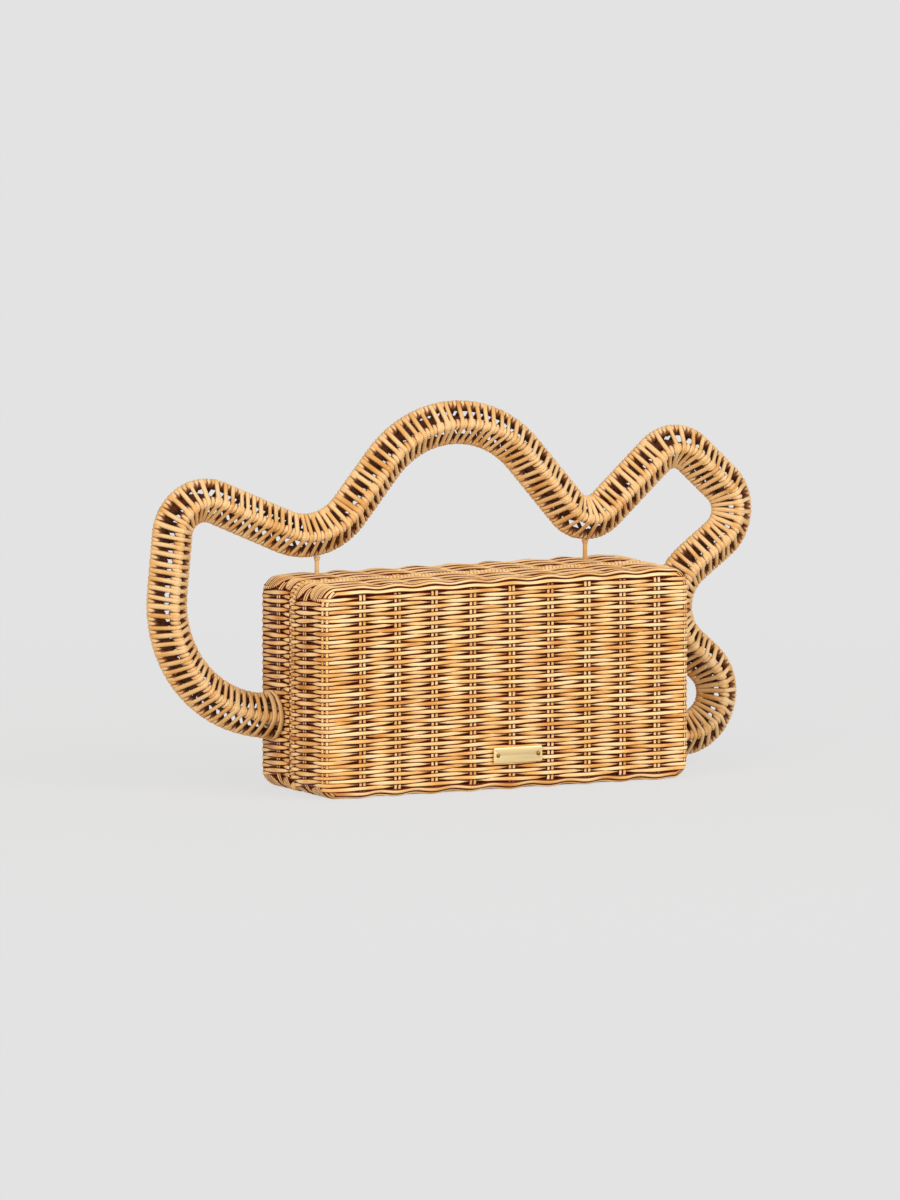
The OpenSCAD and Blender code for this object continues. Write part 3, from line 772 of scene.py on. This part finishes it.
def cane(name, colours, line=None, dark_side="flanks", stain=0.0):
    """Varnished rattan core: peeled round cane, straw to tan, with fine straight fibres and a satin gloss.

    line is None for a strand with its own UV map of run and share of the way round, or the axis letter
    that the fibres of a plain rod follow. A strand gets painted shade on its flanks, where it meets its
    neighbour, or on its inside, and where its attribute depth_shade says that it lies deep. stain is
    the share of the grain's colour that handling has left all over it.
    """
    made, t, out = blank(name)
    coord = node(t, "ShaderNodeTexCoord")
    if line is None:
        place = coord.outputs["UV"]
        tone = node(t, "ShaderNodeAttribute", attribute_name="tone").outputs["Fac"]
        fibre_scale, slow_scale = (70.0, 10.5, 1.0), (38.0, 0.42, 1.0)
    else:
        place = coord.outputs["Object"]
        tone = node(t, "ShaderNodeTexNoise", {"Vector": place, "Scale": 30.0}).outputs["Fac"]
        fibre_scale = tuple(70.0 if axis == line else 1500.0 for axis in "XYZ")
        slow_scale = (38.0, 38.0, 38.0)
    # fibres about 0.7 mm apart round the strand and 15 mm long
    drawn = node(t, "ShaderNodeMapping", {"Vector": place, "Scale": fibre_scale})
    fibre = node(t, "ShaderNodeTexNoise", {
        "Vector": drawn.outputs["Vector"], "Scale": 1.0, "Detail": 2.0, "Roughness": 0.6}).outputs["Fac"]
    # slow change of colour, about 25 mm along the strand
    drawn = node(t, "ShaderNodeMapping", {"Vector": place, "Scale": slow_scale})
    slow = node(t, "ShaderNodeTexNoise", {
        "Vector": drawn.outputs["Vector"], "Scale": 1.0, "Detail": 1.0}).outputs["Fac"]
    # shade of the strand and slow change of colour, in the shares 0.55 and 0.75
    mixed = node(t, "ShaderNodeMath", {0: tone, 1: 0.55}, operation="MULTIPLY").outputs[0]
    mixed = node(t, "ShaderNodeMath", {0: slow, 1: 0.75, 2: mixed}, operation="MULTIPLY_ADD").outputs[0]
    # what is laid over the tan in turn, with the limits of its share
    layers = [(colours.gold, {"Value": mixed, "From Min": 0.28, "From Max": 0.56}),
              (colours.straw, {"Value": mixed, "From Min": 0.56, "From Max": 0.86}),
              (colours.grain, {"Value": fibre, "From Min": 0.60, "From Max": 0.74,
                               "To Min": stain, "To Max": 0.45})]
    if line is None:
        # painted shade: the shade colour over the flanks or the inside, and more where the strand lies
        # deep
        round_share = node(t, "ShaderNodeSeparateXYZ", {"Vector": place}).outputs["Y"]
        angle = node(t, "ShaderNodeMath", {0: round_share, 1: 2 * pi}, operation="MULTIPLY").outputs[0]
        if dark_side == "flanks":
            flank = node(t, "ShaderNodeMath", {0: angle}, operation="SINE").outputs[0]
            flank = node(t, "ShaderNodeMath", {0: flank}, operation="ABSOLUTE").outputs[0]
            ends, deep_share = {"From Min": 0.585, "From Max": 0.74}, 0.6
        else:
            flank = node(t, "ShaderNodeMath", {0: angle, 1: pi}, operation="SUBTRACT").outputs[0]
            flank = node(t, "ShaderNodeMath", {0: flank}, operation="COSINE").outputs[0]
            ends, deep_share = {"From Min": -0.40, "From Max": 0.30, "To Max": 0.90}, 1.3
        depth_shade = node(t, "ShaderNodeAttribute", attribute_name="depth_shade").outputs["Fac"]
        depth = node(t, "ShaderNodeMath", {0: depth_shade, 1: deep_share, 2: flank}, operation="MULTIPLY_ADD")
        layers.append((colours.painted_shade, {"Value": depth.outputs[0], **ends}))
    colour = colours.tan
    for layer, limits in layers:
        share = node(t, "ShaderNodeMapRange", limits).outputs["Result"]
        colour = node(t, "ShaderNodeMix", {"Factor": share, 6: colour, 7: layer},
                      data_type="RGBA").outputs[2]
    rough = node(t, "ShaderNodeMapRange", {"Value": fibre, "To Min": 0.36, "To Max": 0.56})
    bump = node(t, "ShaderNodeBump", {"Height": fibre, "Strength": 0.35, "Distance": 0.0002})
    shader = node(t, "ShaderNodeBsdfPrincipled", {
        "Base Color": colour, "Roughness": rough.outputs["Result"], "Normal": bump.outputs["Normal"],
        "IOR": 1.5, "Specular IOR Level": 0.15})
    t.links.new(shader.outputs["BSDF"], out.inputs["Surface"])
    return made


def brushed(name, colour, roughness):
    """Brushed plated metal: fine lines along X, about 0.2 mm apart, that stretch its highlights."""
    made, t, out = blank(name)
    place = node(t, "ShaderNodeTexCoord").outputs["Object"]
    drawn = node(t, "ShaderNodeMapping", {"Vector": place, "Scale": (60.0, 800.0, 5000.0)})
    lines = node(t, "ShaderNodeTexNoise", {
        "Vector": drawn.outputs["Vector"], "Scale": 1.0, "Detail": 3.0}).outputs["Fac"]
    rough = node(t, "ShaderNodeMapRange", {
        "Value": lines, "To Min": roughness - 0.08, "To Max": roughness + 0.1})
    worn = node(t, "ShaderNodeMapRange", {
        "Value": lines, "From Min": 0.3, "From Max": 0.65, "To Min": 0.82, "To Max": 1.0})
    body = node(t, "ShaderNodeMix", {
        "Factor": worn.outputs["Result"], 6: (0.0, 0.0, 0.0, 1.0), 7: colour}, data_type="RGBA")
    bump = node(t, "ShaderNodeBump", {"Height": lines, "Strength": 0.15, "Distance": 0.0001})
    shader = node(t, "ShaderNodeBsdfPrincipled", {
        "Base Color": body.outputs[2], "Metallic": 1.0, "Roughness": rough.outputs["Result"],
        "Normal": bump.outputs["Normal"]})
    t.links.new(shader.outputs["BSDF"], out.inputs["Surface"])
    return made


def dress(material, *nodes):
    """Gives carried-over solids their material."""
    for name in nodes:
        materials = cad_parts[name].data.materials
        materials.clear()
        materials.append(material)


# Operators


class CLUTCH_OT_trays(bpy.types.Operator):
    """Weave the two trays"""
    bl_idname = "clutch.trays"
    bl_label = "Woven trays"

    def execute(self, context):
        box, colours = context.scene.clutch_box, context.scene.clutch_colours
        material = cane("varnished rattan core", colours)
        front = tray(box, seed=11, lean=0.09)
        back = mirrored(tray(box, seed=23, lean=-0.07), (1, -1, 1))
        piece("front_weave", front, "front_half", "woven_cane", material, "front_shell")
        piece("back_weave", back, "back_half", "woven_cane", material, "back_shell")
        return {"FINISHED"}


class CLUTCH_OT_rims(bpy.types.Operator):
    """Bind the rims round the trays' mouths"""
    bl_idname = "clutch.rims"
    bl_label = "Bound rims"

    def execute(self, context):
        sizes, colours = context.scene.clutch_rim, context.scene.clutch_colours
        # the binding gets painted shade on its side towards the box and in the grooves between its turns
        material = cane("varnished rattan binding", colours, dark_side="inside", stain=0.1)
        front = rim(sizes, np.random.default_rng(seed=5))
        back = mirrored(rim(sizes, np.random.default_rng(seed=6)), (1, -1, 1))
        piece("front_binding", front, "front_half", "woven_cane", material, "front_rim")
        piece("back_binding", back, "back_half", "woven_cane", material, "back_rim")
        return {"FINISHED"}


class CLUTCH_OT_fittings(bpy.types.Operator):
    """Finish the hinge rod, its loops, the posts and the magnets"""
    bl_idname = "clutch.fittings"
    bl_label = "Hinge, posts and magnets"

    def execute(self, context):
        colours = context.scene.clutch_colours
        along = cane("rattan rod", colours, line="X")
        upright = cane("rattan post", colours, line="Z", stain=0.35)
        wound = cane("rattan loop", colours, line="Y")
        nickel = brushed("nickel plated steel", colours.steel, roughness=0.3)
        pin = domed_rod(*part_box("hinge_rod"))
        piece("hinge_pin", pin, "back_half", "hinge_cane", along, "hinge_rod")
        dress(wound, "front_hinge_loops", "back_hinge_loops")
        dress(upright, "left_post", "right_post")
        dress(nickel, "front_magnets", "back_magnets")
        return {"FINISHED"}


class CLUTCH_OT_handle(bpy.types.Operator):
    """Wind the handle round its rods"""
    bl_idname = "clutch.handle"
    bl_label = "Wound handle"

    def execute(self, context):
        sizes, colours = context.scene.clutch_handle, context.scene.clutch_colours
        # the strand and the rods get painted shade on their sides towards the inside of the tube
        material = cane("varnished rattan winding", colours, dark_side="inside", stain=0.24)
        strand = winding(sizes, np.random.default_rng(seed=31))
        core = rods(sizes, np.random.default_rng(seed=32))
        piece("handle_winding", strand, "back_half", "woven_cane", material, "handle_wrap")
        piece("handle_core", core, "back_half", "hinge_cane", material, "handle_rods")
        return {"FINISHED"}


class CLUTCH_OT_plate(bpy.types.Operator):
    """Fix the bare plate to the front"""
    bl_idname = "clutch.plate"
    bl_label = "Plate"

    def execute(self, context):
        colours = context.scene.clutch_colours
        pale = brushed("brushed pale brass", colours.brass, roughness=0.42)
        # the tacks' dark brass is partly painted shadow, standing in for the shadows round them
        tack_brass = brushed("brass darkened for tack shadow", colours.tack, roughness=0.35)
        bare = plate(*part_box("name_plate"))
        pins = tacks(*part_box("plate_tacks"))
        piece("brass_plate", bare, "front_half", "plate_brass", pale, "name_plate")
        piece("brass_tacks", pins, "front_half", "plate_brass", tack_brass, "plate_tacks")
        return {"FINISHED"}


class CLUTCH_OT_stage(bpy.types.Operator):
    """Set the floor, the lights and the camera"""
    bl_idname = "clutch.stage"
    bl_label = "Studio"

    def execute(self, context):
        scene = context.scene
        scene.view_settings.view_transform = "Standard"
        grey = tuple(scene.clutch_colours.studio)
        self.floor(scene, grey)
        self.world(scene, grey)
        for lamp in LAMPS:
            self.lamp(scene, *lamp)
        self.camera(scene)
        return {"FINISHED"}

    def floor(self, scene, grey):
        """Pale floor that keeps the object's soft shadow and fades into the background away from it.

        It is thin to the eye and to light, so that a tray that hangs open below the base still shows.
        """
        mesh = bpy.data.meshes.new("floor")
        half = 8.0
        corners = [(-half, -half, 0), (half, -half, 0), (half, half, 0), (-half, half, 0)]
        mesh.from_pydata(corners, [], [(0, 1, 2, 3)])
        made, t, out = blank("pale paper floor")
        place = node(t, "ShaderNodeTexCoord").outputs["Object"]
        far = node(t, "ShaderNodeVectorMath", {0: place}, operation="LENGTH").outputs["Value"]
        even = node(t, "ShaderNodeMapRange", {
            "Value": far, "From Min": 0.15, "From Max": 0.8, "To Min": 0.88, "To Max": 1.0})
        shadow = node(t, "ShaderNodeLightPath").outputs["Is Shadow Ray"]
        through = node(t, "ShaderNodeMath", {0: self.seen(t), 1: shadow}, operation="MAXIMUM")
        share = node(t, "ShaderNodeMath", {0: even.outputs["Result"], 1: through.outputs[0]},
                     operation="MULTIPLY")
        paper = node(t, "ShaderNodeBsdfDiffuse", {"Color": grey})
        clear = node(t, "ShaderNodeBsdfTransparent")
        mix = node(t, "ShaderNodeMixShader", {
            "Fac": share.outputs[0], 1: paper.outputs[0], 2: clear.outputs[0]})
        t.links.new(mix.outputs[0], out.inputs["Surface"])
        mesh.materials.append(made)
        obj = bpy.data.objects.new("floor", mesh)
        scene.collection.objects.link(obj)

    def seen(self, tree):
        """1 for what the camera, a reflection or a clear surface sees, 0 for light."""
        path = node(tree, "ShaderNodeLightPath")
        made = path.outputs["Is Camera Ray"]
        for other in ("Is Glossy Ray", "Is Transmission Ray"):
            made = node(tree, "ShaderNodeMath", {0: made, 1: path.outputs[other]},
                        operation="MAXIMUM").outputs[0]
        return made

    def world(self, scene, grey):
        """Even, slightly warm light, with the background seen at the floor's own colour."""
        scene.world = bpy.data.worlds.new("studio")
        scene.world.use_nodes = True
        t = scene.world.node_tree
        t.nodes.clear()
        light = node(t, "ShaderNodeBackground", {"Color": (1.0, 0.98, 0.95, 1.0), "Strength": 0.42})
        seen = node(t, "ShaderNodeBackground", {"Color": grey, "Strength": 1.0})
        mix = node(t, "ShaderNodeMixShader", {
            "Fac": self.seen(t), 1: light.outputs[0], 2: seen.outputs[0]})
        t.links.new(mix.outputs[0], node(t, "ShaderNodeOutputWorld").inputs["Surface"])

    def lamp(self, scene, name, place, size, power, colour):
        """Square soft box that faces the middle of the object."""
        light = bpy.data.lights.new(name, "AREA")
        light.color = colour
        light.size = size
        light.energy = power
        obj = bpy.data.objects.new(name, light)
        scene.collection.objects.link(obj)
        obj.location = place
        towards = Vector((0, 0, 0.1)) - obj.location
        obj.rotation_euler = towards.to_track_quat("-Z", "Y").to_euler()

    def camera(self, scene):
        """Very long lens 20 m away, 27 degrees to the left of the front and 6.8 degrees up."""
        lens = bpy.data.cameras.new("camera")
        obj = bpy.data.objects.new("camera", lens)
        scene.collection.objects.link(obj)
        turn, up, away = radians(-27), radians(6.8), 20.0
        target = Vector((-0.0154, 0.0, 0.1021))
        back = Vector((sin(turn) * cos(up), -cos(turn) * cos(up), sin(up)))
        obj.location = target + away * back
        obj.rotation_euler = (-back).to_track_quat("-Z", "Y").to_euler()
        lens.sensor_fit = "VERTICAL"
        lens.sensor_height = 36.0
        lens.lens = lens.sensor_height * away / (IMAGE_ROWS * ROW_HEIGHT)
        lens.clip_end = 3 * away
        scene.camera = obj


class CLUTCH_PT_panel(bpy.types.Panel):
    """Sidebar list of the pieces and their sizes"""
    bl_idname = "CLUTCH_PT_panel"
    bl_label = "Rattan box clutch"
    bl_space_type = "VIEW_3D"
    bl_region_type = "UI"
    bl_category = "Clutch"

    def draw(self, context):
        for op in OPERATORS:
            self.layout.operator(op.bl_idname)
        for name in GROUPS:
            group = getattr(context.scene, name)
            column = self.layout.column(align=True)
            for key in group.__annotations__:
                column.prop(group, key)


OPERATORS = (CLUTCH_OT_trays, CLUTCH_OT_rims, CLUTCH_OT_fittings, CLUTCH_OT_handle, CLUTCH_OT_plate,
             CLUTCH_OT_stage)
GROUPS = {"clutch_box": ClutchBox, "clutch_rim": ClutchRim, "clutch_handle": ClutchHandle,
          "clutch_colours": ClutchColours}


def register():
    for cls in (*GROUPS.values(), *OPERATORS, CLUTCH_PT_panel):
        bpy.utils.register_class(cls)
    for name, cls in GROUPS.items():
        setattr(bpy.types.Scene, name, PointerProperty(type=cls))


def unregister():
    for name in GROUPS:
        delattr(bpy.types.Scene, name)
    for cls in (CLUTCH_PT_panel, *reversed(OPERATORS), *reversed(GROUPS.values())):
        bpy.utils.unregister_class(cls)


def main():
    """Makes every piece in order."""
    register()
    bpy.ops.clutch.trays()
    bpy.ops.clutch.rims()
    bpy.ops.clutch.fittings()
    bpy.ops.clutch.handle()
    bpy.ops.clutch.plate()
    bpy.ops.clutch.stage()


if __name__ == "__main__":
    main()
